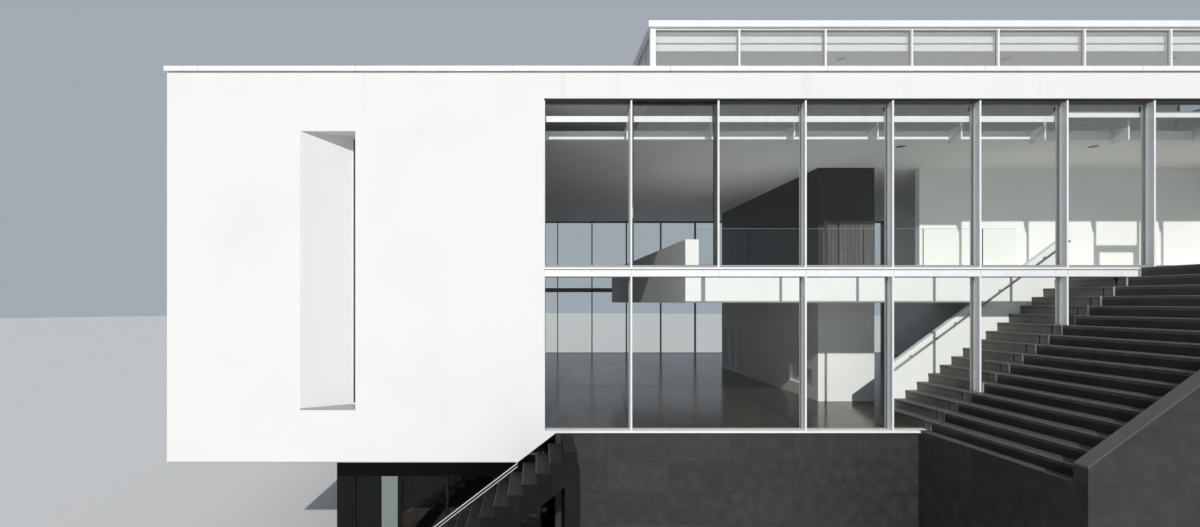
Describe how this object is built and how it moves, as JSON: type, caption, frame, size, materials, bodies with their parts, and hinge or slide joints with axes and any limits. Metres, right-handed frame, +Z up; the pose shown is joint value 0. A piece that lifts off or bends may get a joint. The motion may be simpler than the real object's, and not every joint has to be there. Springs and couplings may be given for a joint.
{
  "type": "modern detached house",
  "caption": "Modern house with a white cantilevered box, a two-storey glass front, a roof lantern and a stone stair that runs through the glass.",
  "frame": {"origin": "middle of the base: centre of the bounding box in plan, at the underside of the lower floor", "axes": "+X along the front to the right seen from the garden, +Y from the front into the house, +Z up"},
  "size_m": [24.51, 19.09, 11.223],
  "materials": {
    "white_render": "fine white mineral render, matt, lightly stained by weather",
    "white_plaster": "smooth white interior plaster",
    "white_metal": "white powder-coated steel and aluminium, satin",
    "dark_metal": "near-black powder-coated steel, satin",
    "clear_glass": "clear double glazing with a slight green tint, polished",
    "dark_stone": "honed grey-black stone slabs",
    "grey_concrete": "fair-faced grey concrete",
    "polished_floor": "dark polished floor stone",
    "roofing": "grey roofing membrane",
    "black_board": "black-stained boards, matt",
    "grey_board": "grey vertical boards",
    "steel_rail": "brushed steel"
  },
  "bodies": {
    "root": {"front_wall": "white_render", "slit_frame": "white_metal", "slit_glass": "clear_glass", "left_wall": "white_render", "right_wall": "white_render", "back_wall": "white_render", "front_band": "white_render", "back_band": "white_render", "coping": "white_metal", "roof_slab": "roofing", "box_floor": "polished_floor", "box_soffit": "white_render", "living_floor": "polished_floor", "lower_floor": "grey_concrete", "front_plinth": "dark_stone", "back_plinth": "dark_stone", "lower_walls": "dark_stone", "lower_pier": "white_metal", "lower_frame": "dark_metal", "lower_glass": "clear_glass", "upper_front_mullions": "white_metal", "upper_front_rails": "dark_metal", "upper_front_glass": "clear_glass", "entrance_door": "white_metal", "lower_front_mullions": "white_metal", "front_sill": "white_metal", "lower_front_glass": "clear_glass", "front_transom": "white_metal", "back_mullions": "dark_metal", "back_rails": "dark_metal", "back_glass": "clear_glass", "gallery_slab": "white_plaster", "gallery_fascia": "white_plaster", "gallery_parapet": "white_plaster", "gallery_guard": "clear_glass", "gallery_wall": "white_plaster", "inner_ceiling": "white_plaster", "head_blades": "white_metal", "core_lower": "white_plaster", "core_upper": "black_board", "core_panel": "grey_board", "stair_flight": "grey_concrete", "outer_treads": "dark_stone", "inner_treads": "dark_stone", "cheek_wall": "grey_concrete", "stair_end_walls": "dark_stone", "landing": "dark_stone", "stair_balustrade": "white_plaster", "stair_handrail": "steel_rail", "lantern_posts": "white_metal", "lantern_rails": "white_metal", "lantern_glass": "clear_glass", "lantern_louvres": "white_metal", "lantern_wall": "white_metal", "lantern_roof": "white_metal", "garden_flight": "dark_stone", "garden_treads": "dark_stone", "garden_stringer": "white_metal"}
  },
  "joints": []
}
